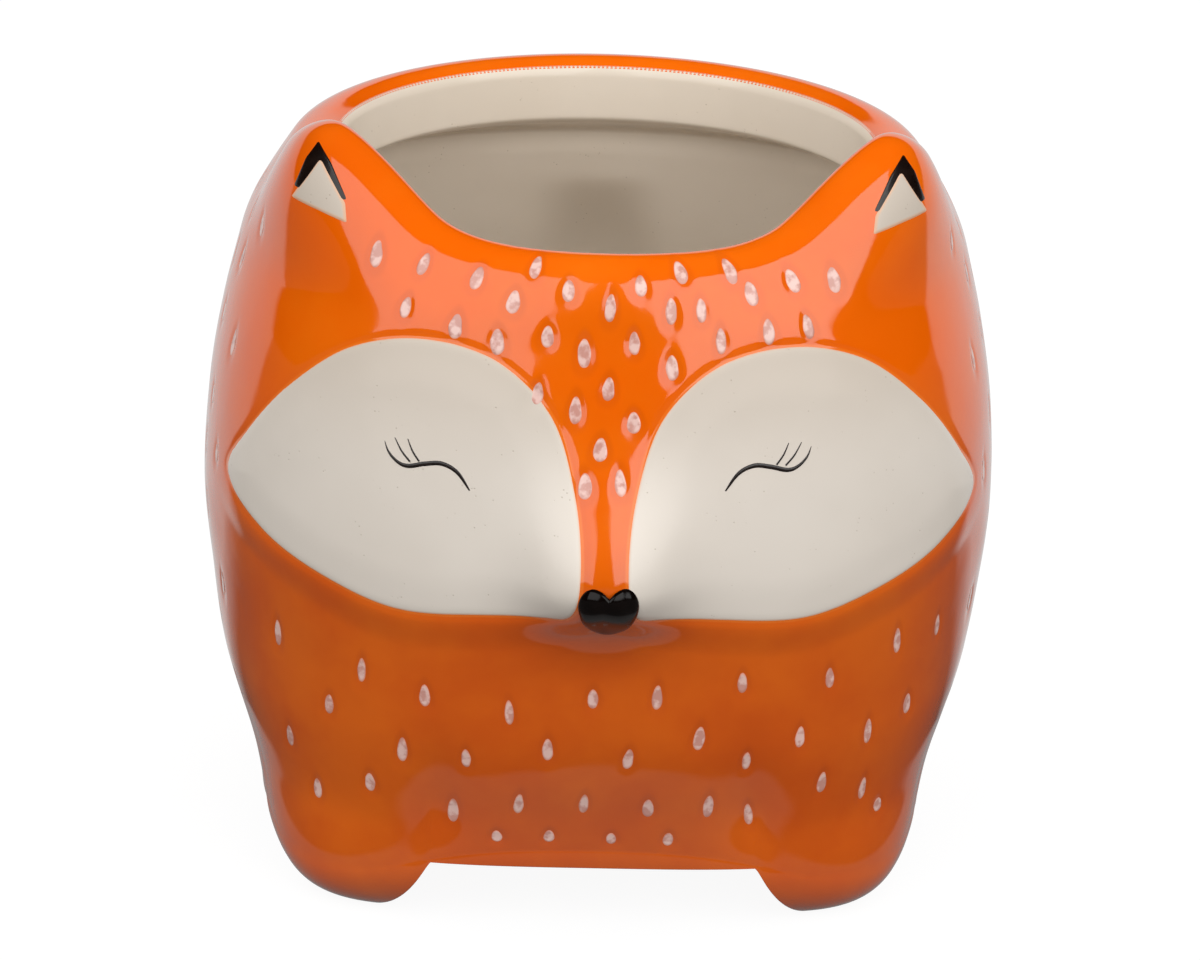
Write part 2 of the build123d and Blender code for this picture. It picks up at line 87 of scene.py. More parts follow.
def outline_row(height):
    """Width share and squareness of the belly's plan at some heights."""
    t = OUTLINE[:, 0]
    at = np.clip(np.asarray(height, float) / RIM_HEIGHT, t[0], t[-1])
    i = np.clip(np.searchsorted(t, at, side="right") - 1, 0, len(t) - 2)
    a, b = np.maximum(i - 1, 0), np.minimum(i + 2, len(t) - 1)
    span = t[i + 1] - t[i]
    s = (at - t[i]) / span
    result = []
    for column in (1, 2):
        v = OUTLINE[:, column]
        slope_in = (v[i + 1] - v[a]) / (t[i + 1] - t[a]) * span
        slope_out = (v[b] - v[i]) / (t[b] - t[i]) * span
        rise = v[i + 1] - v[i]
        bend = s * (s - 1)
        curve = (slope_in - rise) * (s - 1) + (slope_out - rise) * s
        result.append(v[i] + rise * s + bend * curve)
    return result


def from_front(angle):
    """Angle to the front, from 0 to 180 on both sides."""
    return np.abs((np.asarray(angle) + 180) % 360 - 180)


def muzzle(angle, height):
    """How far the muzzle stands out of the belly."""
    aside = np.radians(from_front(angle)) * HALF_DEPTH / MUZZLE_HALF
    reach = MUZZLE_HALF * np.where(height > MUZZLE_HEIGHT, MUZZLE_UP, MUZZLE_DOWN)
    return MUZZLE_OUT * np.exp(-(aside**MUZZLE_POWER) - ((height - MUZZLE_HEIGHT) / reach) ** 2)


def tail(angle, height):
    """How far the tail stands out of the back."""
    aside = np.radians(180 - from_front(angle)) * HALF_DEPTH / TAIL_HALF
    along = np.clip((height - TAIL_FOOT) / TAIL_LENGTH, 0, 1)
    return TAIL_OUT * np.exp(-(aside**TAIL_POWER)) * (1 - (2 * along - 1) ** 4) ** 1.5


def wall_radius(angle, height):
    """Radius of the outside up to the shoulder."""
    share, square = outline_row(height)
    width = share * HALF_WIDTH
    depth = width * HALF_DEPTH / HALF_WIDTH
    across = np.abs(np.sin(np.radians(angle)) / width) ** square
    ahead = np.abs(np.cos(np.radians(angle)) / depth) ** square
    return (across + ahead) ** (-1 / square) + muzzle(angle, height) + tail(angle, height)


def ear(angle):
    """1 at an ear's tip, 0 away from the ears."""
    share = (from_front(angle) - EAR_ANGLE) / EAR_SPREAD
    fall = (np.sqrt(share**2 + EAR_TIP**2) - EAR_TIP) / (np.sqrt(1 + EAR_TIP**2) - EAR_TIP)
    return ((1 - fall) + np.sqrt((1 - fall) ** 2 + EAR_FOOT**2)) / 2


def brow(angle):
    """1 over the brow, 0 away from it."""
    return np.exp(-((from_front(angle) / BROW_SPREAD) ** BROW_POWER))


def crest(angle):
    """Radius and height of the top line of the rim, ears and brow."""
    return RIM_RADIUS + EAR_OUT * ear(angle), RIM_HEIGHT + EAR_UP * ear(angle) - BROW_DIP * brow(angle)


def rim_spot(angle, turn):
    """Radius and height on the rounded rim, turned from the outside over the top to the inside."""
    radius, height = crest(angle)
    rounding = RIM_ROLL if turn < 90 else RIM_ROUND
    return radius + rounding * cos(radians(turn)), height - rounding * (1 - sin(radians(turn)))


def shoulder_spot(angle, share):
    """Radius and height between the shoulder and the rounded rim."""
    radius, height = rim_spot(angle, SHOULDER_TURN)
    start = wall_radius(angle, SHOULDER)
    climb = height - SHOULDER
    leave = (start - wall_radius(angle, SHOULDER - SLOPE_STEP)) / SLOPE_STEP * climb
    arrive = -tan(radians(SHOULDER_TURN)) * climb
    bend = leave * share * (1 - share) ** 2 - arrive * share**2 * (1 - share)
    return start + (radius - start) * share**2 * (3 - 2 * share) + bend, SHOULDER + climb * share


def smooth(low, high, value):
    """0 below low, 1 above high, smooth between."""
    s = np.clip((value - low) / (high - low), 0, 1)
    return s * s * (3 - 2 * s)


def underside(x, y):
    """Height of the pot's underside: four round stumps and the belly between them."""
    along = np.clip((LEG_X - np.abs(x)) / LEG_HALF, 0, 1) ** LEG_FALL
    across = np.clip((LEG_Y - np.abs(y)) / LEG_HALF, 0, 1) ** LEG_FALL
    both = (along**LEG_CORNER + across**LEG_CORNER) ** (1 / LEG_CORNER)
    rise = 1 - np.log1p(np.exp((1 - both) * LEG_BLEND)) / LEG_BLEND
    return BELLY_GAP * rise / (1 - np.log1p(np.exp(-LEG_BLEND)) / LEG_BLEND)


def foot_height(angle):
    """Size of the bottom edge's rounding, least in the middle of a foot."""
    far = from_front(angle)
    beside = np.minimum(np.abs(far - LEG_ANGLE), np.abs(180 - far - LEG_ANGLE))
    return FOOT_ROUND + FOOT_TURN * (1 - np.exp(-((beside / FOOT_SPREAD) ** 2)))


# ---- meshes. The columns are closer together on the face's side.
FACE_SIDE, FACE_COLUMNS, BACK_COLUMNS = 100, 700, 340
front_turns = np.linspace(-FACE_SIDE, FACE_SIDE, FACE_COLUMNS, endpoint=False)
back_turns = np.linspace(FACE_SIDE, 360 - FACE_SIDE, BACK_COLUMNS, endpoint=False)
TURNS = np.concatenate([front_turns, back_turns])
INNER_TURNS = TURNS[::2]
# rows of the outside, from the middle of the underside up to the rim's inner edge
UNDERSIDE_START, UNDERSIDE_ROWS, EDGE_ROWS = 0.03, 90, 25
LEG_TOP, LEG_ROWS, BELLY_ROWS = 32.0, 44, 204
SHOULDER_ROWS, RIM_ROWS, RIM_END = 45, 33, 150
EDGE_PASSES, EDGE_FLATTEST = 12, 0.02


def steps(start, end, count):
    """Evenly spaced values after the start, up to the end."""
    return np.linspace(start, end, count + 1)[1:]


def place(radius, height, turns=TURNS):
    """A ring of points round the pot."""
    radius, height = np.broadcast_arrays(radius, height)
    angle = np.radians(turns)
    return np.stack([radius * np.sin(angle), -radius * np.cos(angle), height * np.ones_like(radius)], axis=-1)


def body_rows():
    """Rings of the outside, from the middle of the underside to the rim's inner edge."""
    rows = []
    size = foot_height(TURNS)
    base = wall_radius(TURNS, size)
    # where the rounding of the bottom edge leaves the underside
    first = np.zeros_like(size)
    for _ in range(EDGE_PASSES):
        inset = size * (1 - np.sin(first))
        low = place(base - inset, 0.0)
        lift = underside(low[:, 0], low[:, 1])
        first = (first + np.arccos(np.clip(1 - lift / size, EDGE_FLATTEST, 1))) / 2
    edge_radius = base - size * (1 - np.sin(first))
    for share in np.linspace(UNDERSIDE_START, 1, UNDERSIDE_ROWS):
        p = place((edge_radius - EDGE_SOFTNESS) * share, 0.0)
        p[:, 2] = underside(p[:, 0], p[:, 1])
        rows.append(p)
    for share in steps(0, 1, EDGE_ROWS):
        turn = first + (pi / 2 - first) * share
        radius = base - size * (1 - np.sin(turn))
        rows.append(place(radius, size * (1 - np.cos(turn))))
    for share in steps(0, 1, LEG_ROWS):
        height = size + (LEG_TOP - size) * share
        rows.append(place(wall_radius(TURNS, height), height))
    for height in steps(LEG_TOP, SHOULDER, BELLY_ROWS):
        rows.append(place(wall_radius(TURNS, height), height))
    for share in steps(0, 1, SHOULDER_ROWS):
        rows.append(place(*shoulder_spot(TURNS, share)))
    for turn in steps(SHOULDER_TURN, RIM_END, RIM_ROWS):
        rows.append(place(*rim_spot(TURNS, turn)))
    return np.array(rows)


def grid_faces(rows, columns):
    """Quads of a grid that closes round its columns."""
    r, c = np.meshgrid(np.arange(rows - 1), np.arange(columns), indexing="ij")
    n = (c + 1) % columns
    low, high = r * columns, (r + 1) * columns
    return np.stack([low + c, low + n, high + n, high + c], -1).reshape(-1, 4)


def grid_normals(grid):
    """Normals of a grid that closes round its columns."""
    along = np.roll(grid, -1, axis=1) - np.roll(grid, 1, axis=1)
    up = np.gradient(grid, axis=0)
    normal = np.cross(along, up)
    return normal / np.maximum(np.linalg.norm(normal, axis=-1, keepdims=True), 1e-9)


def field_faces(rings, count, first=0):
    """Quads between the rings of a field, then a fan round its middle."""
    quads = [tuple(int(v) + first for v in face) for face in grid_faces(rings, count)]
    last = first + (rings - 1) * count
    middle = first + rings * count
    return quads + [(last + k, last + (k + 1) % count, middle) for k in range(count)]


def add_object(name, mesh):
    """The mesh's object, in the scene."""
    item = bpy.data.objects.new(name, mesh)
    bpy.context.scene.collection.objects.link(item)
    return item


def add_values(mesh, name, values):
    """One number for each vertex, for the materials to read."""
    layer = mesh.attributes.new(name, "FLOAT", "POINT")
    layer.data.foreach_set("value", np.asarray(values, float).ravel())


def new_mesh(name, verts, faces, attributes=None):
    """A smooth-shaded object from vertices in millimetres."""
    mesh = bpy.data.meshes.new(name)
    verts = np.asarray(verts, float).reshape(-1, 3) * MM
    faces = np.asarray(faces, np.int64)
    mesh.vertices.add(len(verts))
    mesh.vertices.foreach_set("co", verts.ravel())
    mesh.loops.add(faces.size)
    mesh.loops.foreach_set("vertex_index", faces.ravel())
    mesh.polygons.add(len(faces))
    mesh.polygons.foreach_set("loop_start", np.arange(0, faces.size, faces.shape[1]))
    mesh.update(calc_edges=True)
    mesh.validate()
    mesh.shade_smooth()
    for key, values in (attributes or {}).items():
        add_values(mesh, key, values)
    return add_object(name, mesh)


def align_faces(mesh, to_front=False):
    """All faces look to the same side of their sheet, to the front where that is asked."""
    bm = bmesh.new()
    bm.from_mesh(mesh)
    bmesh.ops.recalc_face_normals(bm, faces=bm.faces)
    if to_front and sum(f.normal.y for f in bm.faces) > 0:
        bmesh.ops.reverse_faces(bm, faces=bm.faces)
    bm.to_mesh(mesh)
    bm.free()


def field_mesh(name, verts, polygons, gaps):
    """A smooth-shaded field from vertices in millimetres, with their distances from its edge."""
    mesh = bpy.data.meshes.new(name)
    mesh.from_pydata([tuple(v * MM) for v in verts], [], polygons)
    mesh.update()
    mesh.shade_smooth()
    add_values(mesh, "rim_gap", gaps)
    item = add_object(name, mesh)
    align_faces(mesh)
    return item


def finish_piece(item, material, nodes):
    """Material, body and replaced nodes of a piece."""
    item.data.materials.append(material)
    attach(item, "root")
    if nodes:
        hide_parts(*nodes)


# ---- curves, as x and z of the front view
def spot(shares):
    """Points from shares of the half width and of the rim's height."""
    return np.array(shares, float) * (HALF_WIDTH, RIM_HEIGHT)


def through(a, b, c, d, t):
    """A smooth curve from b to c, at shares t of the way."""
    return 0.5 * (2 * b + (c - a) * t + (2 * a - 5 * b + 4 * c - d) * t**2 + (3 * b - a - 3 * c + d) * t**3)


def evenly(path, count):
    """Evenly spaced points of a closed path."""
    step = np.linalg.norm(np.roll(path, -1, axis=0) - path, axis=1)
    length = np.concatenate([[0], np.cumsum(step)])
    at = np.arange(count) / count * length[-1]
    ring = np.vstack([path, path[:1]])
    return np.stack([np.interp(at, length, ring[:, k]) for k in (0, 1)], axis=1)


def closed_curve(points, count):
    """A smooth closed curve through points, evenly spaced."""
    p = np.asarray(points, float)
    n = len(p)
    s = np.arange(count * 4) / (count * 4) * n
    i = s.astype(int)
    return evenly(through(p[(i - 1) % n], p[i % n], p[(i + 1) % n], p[(i + 2) % n], (s - i)[:, None]), count)


def rounded_polygon(points, count, round_share=0.06):
    """An evenly sampled polygon with softened corners."""
    p = np.asarray(points, float)
    path = []
    for a, b, c in zip(np.roll(p, 1, axis=0), p, np.roll(p, -1, axis=0)):
        start, end = b + (a - b) * round_share * 2, b + (c - b) * round_share * 2
        for t in np.linspace(0, 1, 6):
            path.append((1 - t) ** 2 * start + 2 * t * (1 - t) * b + t**2 * end)
    return evenly(np.array(path), count)


def on_wall(points):
    """Points of the front view on the wall, found between quarter degrees."""
    turns = np.linspace(-90, 90, 4 * 180 + 1)
    result = []
    for x, z in points:
        radius = wall_radius(turns, z)
        turn = np.interp(x, radius * np.sin(np.radians(turns)), turns)
        r = float(wall_radius(turn, z))
        result.append((r * sin(radians(turn)), -r * cos(radians(turn)), z))
    return np.array(result)


def inside(points, polygon):
    """Whether points lie inside a closed polygon."""
    x, y = points[:, 0], points[:, 1]
    within = np.zeros(len(points), bool)
    a, b = polygon, np.roll(polygon, -1, axis=0)
    for (x0, y0), (x1, y1) in zip(a, b):
        if y0 == y1:
            continue
        hit = ((y0 > y) != (y1 > y)) & (x < (x1 - x0) * (y - y0) / (y1 - y0) + x0)
        within ^= hit
    return within


def tree(points):
    """The points, sorted for a search of the nearest."""
    found = kdtree.KDTree(len(points))
    for index, point in enumerate(points):
        found.insert(point, index)
    found.balance()
    return found


CHEEK = [
    (0.073, 0.506), (0.052, 0.566), (0.067, 0.655), (0.13, 0.756), (0.265, 0.822),
    (0.445, 0.838), (0.62, 0.808), (0.77, 0.735), (0.875, 0.65), (0.922, 0.58),
    (0.83, 0.532), (0.665, 0.497), (0.49, 0.474), (0.295, 0.48), (0.14, 0.492),
]
CHEEK_POINTS, CHEEK_RINGS, CHEEK_MIDDLE = 480, 90, 77.0
cheek_right = closed_curve(spot(CHEEK), CHEEK_POINTS)
cheek_left = cheek_right * (-1, 1)

# ---- flecks: their places and directions are read from the solids, their sizes are set here
FLECK_NODES = ("forehead_flecks", "chest_flecks", "right_side_flecks", "left_side_flecks", "back_flecks")
SOLID_DROP_LIFT = 0.15
FOREHEAD_DROP, LOW_DROP, OTHER_DROP = (2.3, 1.15), (1.3, 1.1), (2.3, 0.98)
LOW_DROP_HEIGHT = 21
# random shares of size and pit depth, and the lean in radians
SIZE_RANGE, DEPTH_RANGE, LEAN = (0.86, 1.16), (0.8, 1.15), 0.06


def islands(mesh):
    """The points, in millimetres, of each separate closed shape of a mesh."""
    source = bmesh.new()
    source.from_mesh(mesh)
    bmesh.ops.remove_doubles(source, verts=source.verts, dist=1e-6)
    left = set(source.verts)
    found = []
    while left:
        stack, island = [left.pop()], []
        while stack:
            vertex = stack.pop()
            island.append(vertex.co / MM)
            for edge in vertex.link_edges:
                other = edge.other_vert(vertex)
                if other in left:
                    left.discard(other)
                    stack.append(other)
        found.append(np.array(island))
    source.free()
    return found


def drop_frame(cloud):
    """Middle, long direction and outward direction of a drop."""
    middle = (cloud.min(0) + cloud.max(0)) / 2
    axes = np.linalg.svd(cloud - cloud.mean(0), full_matrices=False)[2]
    long_way, out = axes[0], axes[2]
    long_way = long_way if long_way[2] > 0 else -long_way
    out = out if np.dot(out, (middle[0], middle[1], 0)) > 0 else -out
    return middle - out * SOLID_DROP_LIFT, long_way, out


def drop_half(node, middle):
    """Half length and half width of a drop before its random size."""
    if node == "forehead_flecks":
        return FOREHEAD_DROP
    if middle[2] < LOW_DROP_HEIGHT and node == "chest_flecks":
        return LOW_DROP
    return OTHER_DROP


def drop_taper(along, half_long):
    """A drop is a little wider at its lower end."""
    return np.clip(0.97 - 0.2 * along / half_long, 0.5, 1.25)


fleck_groups = {}
for node in FLECK_NODES:
    drops = [drop_frame(cloud) for cloud in islands(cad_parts[node].data)]
    drops.sort(key=lambda d: (round(d[0][2], 2), round(d[0][0], 2)))
    fleck_groups[node] = drops

all_drops = [drop for group in fleck_groups.values() for drop in group]
drop_sizes = rng.uniform(*SIZE_RANGE, (len(all_drops), 2))
drop_turns = rng.normal(0, LEAN, len(all_drops))
drop_depths = rng.uniform(*DEPTH_RANGE, len(all_drops))
drop_halves = np.array([drop_half(node, drop[0]) for node, group in fleck_groups.items() for drop in group])
drop_halves = drop_halves * drop_sizes
for index, (middle, long_way, out) in enumerate(all_drops):
    side = np.cross(long_way, out)
    turned = long_way * cos(drop_turns[index]) + side * sin(drop_turns[index])
    all_drops[index] = (middle, turned, out)

# ---- the outside
CHEEK_SWELL, CHEEK_SWELL_REACH, GROOVE_DEPTH, GROOVE_HALF = 0.3, 8, 0.16, 0.8
STEP_DEPTH, STEP_REACH = 0.8, 7.0
FRONT_VALLEY, FRONT_VALLEY_X, SIDE_VALLEY, SIDE_VALLEY_Y, VALLEY_HALF = 1.1, 26, 0.3, 24, 4.6
WAVE_DEPTH, FAR_AWAY, NO_HALO = 0.05, 30.0, 9.0
# a pit's depth, its size as shares of its fleck, how steep its edge is, and where it may reach
PIT_DEPTH, PIT_LONG, PIT_WIDE, PIT_POWER, PIT_SEARCH = 0.2, 1.2, 1.35, 3.0, 5.0
CHEEK_EDGE_SKIP, CHEEK_EDGE_POINTS = 12, 900
# the face's part of the wall
FACE_BACK, FACE_LOW, FACE_HIGH, FACE_RADIUS = -15, 40, 118, 40
# where each form fades out and in, as a pair of heights, places or angles
FACE_FADE, UNDER_CHEEKS, OVER_LEGS = (78, 62), (70, 60), (24, 50)
VALLEY_TOP, VALLEY_FOOT, VALLEY_RADIUS = (42, 20), (0.5, 12.0), 46
FRONT_BACK, LEFT_RIGHT = (38, 50), (42, 54)
WAVE_FOOT, WAVE_TOP = (12, 30), (122, 110)

base = body_rows()
rows, columns = base.shape[:2]
flat = base.reshape(-1, 3)
flat_normals = grid_normals(base).reshape(-1, 3)
X, Y, Z = flat.T
turn_of = np.degrees(np.arctan2(X, -Y))

# distance to the cheeks' edge, less than 0 inside a cheek
cheek_gap = np.full(len(flat), FAR_AWAY)
out_far = np.hypot(X, Y)
near_face = np.where((Y < FACE_BACK) & (Z > FACE_LOW) & (Z < FACE_HIGH) & (out_far > FACE_RADIUS))[0]
for curve in (cheek_right, cheek_left):
    rim_points = tree(on_wall(closed_curve(curve[::CHEEK_EDGE_SKIP], CHEEK_EDGE_POINTS)))
    within = inside(flat[near_face][:, [0, 2]], curve)
    for index, covered in zip(near_face, within):
        gap = rim_points.find(flat[index])[2]
        gap = -gap if covered else gap
        if abs(gap) < abs(cheek_gap[index]) or gap < 0:
            cheek_gap[index] = gap

lift = np.zeros(len(flat))
face_fade = smooth(*FACE_FADE, np.abs(turn_of))
# the cheeks swell a little and sit in a fine groove
groove = GROOVE_DEPTH * np.exp(-((cheek_gap / GROOVE_HALF) ** 2))
lift += face_fade * (CHEEK_SWELL * smooth(0, CHEEK_SWELL_REACH, -cheek_gap) - groove)
# the face stands proud of the belly under the cheeks
below = smooth(*UNDER_CHEEKS, Z) * smooth(*OVER_LEGS, Z)
lift -= face_fade * below * STEP_DEPTH * smooth(0.2, STEP_REACH, cheek_gap)
# valleys between legs and belly
low = smooth(*VALLEY_TOP, Z) * smooth(*VALLEY_FOOT, Z - underside(X, Y)) * (out_far > VALLEY_RADIUS)
front_back = smooth(*FRONT_BACK, np.abs(Y))
left_right = smooth(*LEFT_RIGHT, np.abs(X))
lift -= FRONT_VALLEY * low * front_back * np.exp(-(((np.abs(X) - FRONT_VALLEY_X) / VALLEY_HALF) ** 2))
lift -= SIDE_VALLEY * low * left_right * np.exp(-(((np.abs(Y) - SIDE_VALLEY_Y) / VALLEY_HALF) ** 2))
# hand-finished unevenness, in waves of a few centimetres
wave = (
    np.sin(X / 6.1 + 1.3 * np.sin(Z / 9.0)) * np.sin(Y / 7.3 + 0.8)
    + np.sin(Z / 5.2 + np.sin(X / 8.0)) * np.sin((X + Y) / 9.7)
)
lift += WAVE_DEPTH * wave * smooth(*WAVE_FOOT, Z) * smooth(*WAVE_TOP, Z)
# a shallow pit under each fleck
halo = np.full(len(flat), NO_HALO)
fleck_tree = tree(flat)
for index, (middle, long_way, out) in enumerate(all_drops):
    side = np.cross(long_way, out)
    half_long, half_wide = drop_halves[index]
    near = np.array([item[1] for item in fleck_tree.find_range(middle, PIT_SEARCH)], int)
    if not len(near):
        continue
    offset = flat[near] - middle
    along, across = offset @ long_way, offset @ side
    wide = PIT_WIDE * half_wide * drop_taper(along, half_long)
    reach = np.sqrt((along / (PIT_LONG * half_long)) ** 2 + (across / wide) ** 2)
    halo[near] = np.minimum(halo[near], reach)
    lift[near] -= drop_depths[index] * PIT_DEPTH * np.exp(-(reach**PIT_POWER))

outside = flat + flat_normals * lift[:, None]
faces = grid_faces(rows, columns)
body = new_mesh("glazed_body", outside, faces, {"cheek_gap": cheek_gap, "halo": halo})
middle_ring = np.vstack([outside[:columns], [[0, 0, outside[:columns, 2].mean()]]])
column = np.arange(columns)
cap = np.stack([column, np.full(columns, columns), (column + 1) % columns], 1)
underside_cap = new_mesh("underside_middle", middle_ring, cap)

# ---- laying fields and lines on the outside
# how far outside the wall each look onto it starts
VIEW_GAP, NEAR_GAP = 120.0, 3.0
surface = BVHTree.FromPolygons([tuple(p) for p in outside], [tuple(f) for f in faces.tolist()])


def cast_front(x, z, sign=-1):
    """The outside's point and normal at a spot of the front view (or of the back view)."""
    hit = surface.ray_cast(Vector((x, VIEW_GAP * sign, z)), Vector((0, -sign, 0)))
    normal = hit[1]
    if normal.y * sign < 0:
        normal = -normal
    return np.array(hit[0]), np.array(normal)


def cast_down(origin, out):
    """The outside's point under a spot near it, or the spot itself where there is none."""
    hit = surface.ray_cast(Vector(origin + out * NEAR_GAP), Vector(-out), 2 * NEAR_GAP)
    return np.array(hit[0]) if hit[0] is not None else origin


def raised(low, rise, edge):
    """Height over the outside by the share of the way from a field's edge to its middle."""
    return lambda share: low + rise * float(smooth(0.0, edge, share))


def draped(name, curve, rings, heights, sign=-1, centre=None):
    """A field laid on the outside inside a closed curve. heights(s) lifts it, s from 0 (edge) to 1."""
    centre = curve.mean(0) if centre is None else np.asarray(centre)
    verts = []
    for ring in range(rings):
        share = ring / rings
        for point in curve:
            x, z = point + (centre - point) * share
            hit, normal = cast_front(x, z, sign)
            verts.append(hit + normal * heights(share))
    hit, normal = cast_front(*centre, sign)
    verts.append(hit + normal * heights(1.0))
    edge_tree = tree(verts[: len(curve)])
    gaps = [edge_tree.find(v)[2] for v in verts]
    return field_mesh(name, verts, field_faces(rings, len(curve)), gaps)


# ---- materials
def colour(r, g, b):
    """Display values 0-255 as a scene colour."""
    values = []
    for c in (r, g, b):
        c /= 255
        values.append(c / 12.92 if c <= 0.04045 else ((c + 0.055) / 1.055) ** 2.4)
    return (*values, 1.0)


ORANGE_LOW, ORANGE_HIGH = colour(206, 84, 6), colour(236, 98, 0)
ORANGE_CLOUD, ORANGE_STREAK = colour(238, 120, 16), colour(188, 66, 6)
ORANGE_AT_CHEEK, ORANGE_AT_FLECK = colour(240, 132, 50), colour(186, 72, 14)
# the third cream tone is painted shade for the upper part of the face's fields
CREAM, CREAM_CLOUD, CREAM_PAINTED_SHADE = colour(222, 213, 202), colour(212, 202, 190), colour(196, 183, 168)
CREAM_SPECK, CREAM_EDGE = colour(150, 130, 108), colour(226, 170, 128)
INSIDE, INSIDE_CLOUD = colour(226, 214, 198), colour(218, 205, 187)
BLACK, BLACK_CLOUD = colour(20, 9, 5), colour(34, 20, 14)
NOSE_BLACK, NOSE_CLOUD = colour(9, 4, 3), colour(16, 8, 6)
FLECK_EDGE, FLECK_MIDDLE, FLECK_CLOUD = colour(218, 122, 80), colour(230, 192, 182), colour(190, 122, 106)
COAT_ROUGHNESS, GLASS_IOR = 0.03, 1.5


class Nodes:
    """Adds shader nodes to a tree and links them. Each method gives the new node's output."""

    def __init__(self, node_tree):
        self.tree = node_tree

    def add(self, kind, **inputs):
        """The node itself, with its inputs set or linked."""
        node = self.tree.nodes.new(kind)
        for key, value in inputs.items():
            self.put(node, key.replace("_", " "), value)
        return node

    def put(self, node, key, value):
        """Sets an input to a number or colour, or links it to another node's output."""
        socket = node.inputs[key]
        if isinstance(value, bpy.types.NodeSocket):
            self.tree.links.new(value, socket)
        else:
            socket.default_value = value

    def attribute(self, name):
        node = self.add("ShaderNodeAttribute")
        node.attribute_name = name
        return node.outputs["Fac"]

    def spot(self):
        return self.add("ShaderNodeTexCoord").outputs["Object"]

    def axes(self, vector):
        return self.add("ShaderNodeSeparateXYZ", Vector=vector).outputs

    def noise(self, scale, detail=2.0, rough=0.5):
        node = self.add("ShaderNodeTexNoise", Scale=scale, Detail=detail, Roughness=rough, Vector=self.spot())
        return node.outputs["Fac"]

    def between(self, value, low, high, to_low=0.0, to_high=1.0):
        """The node that turns low to high into to_low to to_high, held at both ends."""
        node = self.add("ShaderNodeMapRange", Value=value, From_Min=low, From_Max=high)
        self.put(node, "To Min", to_low)
        self.put(node, "To Max", to_high)
        return node

    def line(self, *values):
        return self.between(*values).outputs["Result"]

    def ramp(self, *values):
        node = self.between(*values)
        node.interpolation_type = "SMOOTHSTEP"
        return node.outputs["Result"]

    def mix(self, factor, a, b):
        node = self.add("ShaderNodeMix")
        node.data_type = "RGBA"
        for index, value in ((0, factor), (6, a), (7, b)):
            self.put(node, index, value)
        return node.outputs[2]

    def math(self, operation, *values):
        node = self.add("ShaderNodeMath")
        node.operation = operation
        for index, value in enumerate(values):
            self.put(node, index, value)
        return node.outputs[0]

    def tint(self, tone, mask, share, other):
        """The tone, turned by a share of the mask to another."""
        return self.mix(self.math("MULTIPLY", mask, share), tone, other)

    def bump(self, height, strength, distance, normal=None):
        node = self.add("ShaderNodeBump", Strength=strength, Distance=distance, Height=height)
        if normal is not None:
            self.put(node, "Normal", normal)
        return node.outputs["Normal"]

    def background(self, glossy_share):
        """1 for what the camera sees, straight or through glass, and a share for reflections."""
        rays = self.add("ShaderNodeLightPath").outputs
        seen = self.math("MAXIMUM", rays["Is Camera Ray"], rays["Is Transmission Ray"])
        return self.math("MAXIMUM", seen, self.math("MULTIPLY", rays["Is Glossy Ray"], glossy_share))


def new_material(name):
    material = bpy.data.materials.new(name)
    material.use_nodes = True
    return material, Nodes(material.node_tree)


def glaze(n, tone, normal, roughness=0.09, coat=0.6, specular=0.5):
    """Tone, normal and gloss of a material's shader."""
    shader = n.tree.nodes["Principled BSDF"]
    n.put(shader, "Base Color", tone)
    n.put(shader, "Normal", normal)
    n.put(shader, "Roughness", roughness)
    n.put(shader, "Coat Weight", coat)
    n.put(shader, "Coat Roughness", COAT_ROUGHNESS)
    n.put(shader, "Specular IOR Level", specular)
    n.put(shader, "IOR", GLASS_IOR)


def glaze_normal(n, wave=0.35, fine=0.1):
    """Reflections wobble: a slow wave and a fine orange-peel."""
    slow = n.bump(n.noise(55, 2.0), wave, 0.0011)
    return n.bump(n.noise(420, 1.5), fine, 0.00012, slow)


def orange_material():
    material, n = new_material("orange_glaze")
    # the glaze is darker towards the bottom
    tone = n.mix(n.ramp(n.axes(n.spot())["Z"], 0.045, 0.10), ORANGE_LOW, ORANGE_HIGH)
    tone = n.tint(tone, n.ramp(n.noise(38, 4.0, 0.6), 0.35, 0.72), 0.35, ORANGE_CLOUD)
    tone = n.tint(tone, n.ramp(n.noise(14, 3.0, 0.55), 0.4, 0.75), 0.3, ORANGE_STREAK)
    tone = n.tint(tone, n.ramp(n.attribute("cheek_gap"), 0.4, 0.0), 0.4, ORANGE_AT_CHEEK)
    tone = n.tint(tone, n.ramp(n.attribute("halo"), 1.5, 0.95), 0.2, ORANGE_AT_FLECK)
    glaze(n, tone, glaze_normal(n))
    return material


def cream_material(name, tone, cloud, on_face, roughness=0.3, coat=0.06):
    """Cream with a few small specks. On the face it darkens upward with painted shade and warms at a field's
    edge.
    """
    material, n = new_material(name)
    tone = n.tint(tone, n.ramp(n.noise(30, 3.0, 0.55), 0.3, 0.75), 0.5, cloud)
    # painted shade: on the face the cream darkens toward the top
    if on_face:
        tone = n.tint(tone, n.ramp(n.axes(n.spot())["Z"], 0.078, 0.104), 0.8, CREAM_PAINTED_SHADE)
    cells = n.add("ShaderNodeTexVoronoi", Scale=900.0, Vector=n.spot())
    dots = n.ramp(cells.outputs["Distance"], 0.16, 0.05)
    dots = n.math("MULTIPLY", dots, n.ramp(n.noise(260, 1.0), 0.56, 0.66))
    tone = n.tint(tone, dots, 0.4, CREAM_SPECK)
    if on_face:
        tone = n.tint(tone, n.ramp(n.attribute("rim_gap"), 0.75, 0.15), 0.7, CREAM_EDGE)
    normal = n.bump(dots, 0.5, -0.0001, glaze_normal(n, 0.2, 0.06))
    glaze(n, tone, normal, roughness, coat, specular=0.24)
    return material


